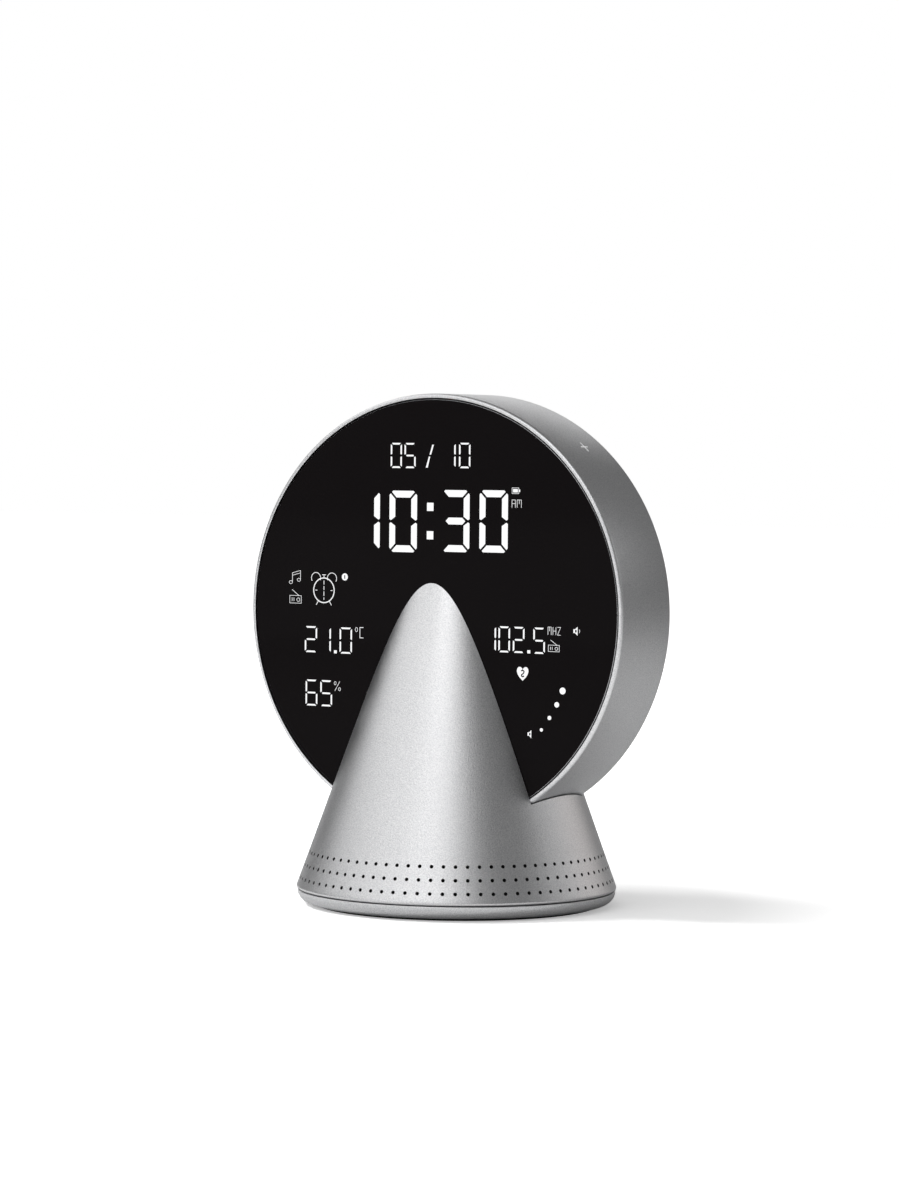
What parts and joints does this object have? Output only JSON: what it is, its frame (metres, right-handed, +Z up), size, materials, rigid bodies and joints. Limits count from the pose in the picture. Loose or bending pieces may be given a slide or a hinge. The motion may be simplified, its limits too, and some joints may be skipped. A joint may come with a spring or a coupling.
{
  "type": "talking clock",
  "caption": "Bedside talking clock: a round black glass display head stands upright in the slot of a hollow perforated cone that holds the speaker.",
  "frame": {"origin": "centre of the foot's underside, on the surface that the clock stands on", "axes": "+Z up, -Y to the front where the glass faces, +X to the viewer's right"},
  "size_m": [0.155, 0.1148, 0.1825],
  "materials": {
    "satin_aluminium": "bead-blasted satin, silver",
    "black_glass": "polished, black from behind",
    "smoked_film": "smoked diffuser film",
    "black_plastic": "fine matt black",
    "circuit_board": "green solder mask",
    "lamp_white": "white lamp bodies",
    "battery_foil": "foil pouch",
    "screw_steel": "plated steel",
    "key_plastic": "matt dark grey",
    "component_black": "moulded black",
    "socket_steel": "bright plated steel",
    "ribbon_film": "pale flat cable",
    "copper_foil": "copper foil",
    "lead_rubber": "black insulation",
    "liner_fabric": "black acoustic cloth",
    "foot_rubber": "matt black rubber",
    "foam": "dark foam",
    "speaker_steel": "blackened steel",
    "magnet_iron": "ferrite and steel pot",
    "diaphragm_fabric": "black pulp cone"
  },
  "bodies": {
    "housing": {"head_rim": "satin_aluminium", "front_glass": "black_glass", "diffuser_sheet": "smoked_film", "display_frame": "black_plastic", "display_board": "circuit_board", "display_lamps": "lamp_white", "battery_pack": "battery_foil", "rear_cover": "black_plastic", "rear_cover_screws": "screw_steel", "key_switches": "component_black", "power_switch_body": "component_black", "usb_socket": "socket_steel", "audio_socket": "component_black", "main_board": "circuit_board", "board_chips": "component_black", "radio_module": "socket_steel", "lead_connector": "component_black", "climate_sensor": "component_black", "display_ribbon": "ribbon_film", "touch_pads": "copper_foil", "aerial_strip": "copper_foil", "neck_screws": "screw_steel", "speaker_lead": "lead_rubber", "cone_shell": "satin_aluminium", "grille_liner": "liner_fabric", "base_tray": "satin_aluminium", "base_screws": "screw_steel", "foot_pad": "foot_rubber", "speaker_box": "black_plastic", "foam_pad": "foam", "speaker_frame": "speaker_steel", "speaker_magnet": "magnet_iron", "speaker_screws": "screw_steel"},
    "set_key_1": {"set_key_1": "key_plastic"},
    "set_key_2": {"set_key_2": "key_plastic"},
    "set_key_3": {"set_key_3": "key_plastic"},
    "set_key_4": {"set_key_4": "key_plastic"},
    "power_switch_knob": {"power_switch_knob": "key_plastic"},
    "speaker_diaphragm": {"speaker_diaphragm": "diaphragm_fabric"}
  },
  "joints": [
    {"name": "set_key_1_press", "type": "slide", "parent": "housing", "child": "set_key_1", "axis": [0, -1, 0], "range_m": [0, 0.0006], "stiffness_N_per_m": 2000},
    {"name": "set_key_2_press", "type": "slide", "parent": "housing", "child": "set_key_2", "axis": [0, -1, 0], "range_m": [0, 0.0006], "stiffness_N_per_m": 2000},
    {"name": "set_key_3_press", "type": "slide", "parent": "housing", "child": "set_key_3", "axis": [0, -1, 0], "range_m": [0, 0.0006], "stiffness_N_per_m": 2000},
    {"name": "set_key_4_press", "type": "slide", "parent": "housing", "child": "set_key_4", "axis": [0, -1, 0], "range_m": [0, 0.0006], "stiffness_N_per_m": 2000},
    {"name": "power_switch_slide", "type": "slide", "parent": "housing", "child": "power_switch_knob", "axis": [1, 0, 0], "range_m": [0, 0.003]},
    {"name": "speaker_diaphragm_stroke", "type": "slide", "parent": "housing", "child": "speaker_diaphragm", "axis": [0, 0, 1], "range_m": [-0.0008, 0.0008], "stiffness_N_per_m": 1500}
  ]
}
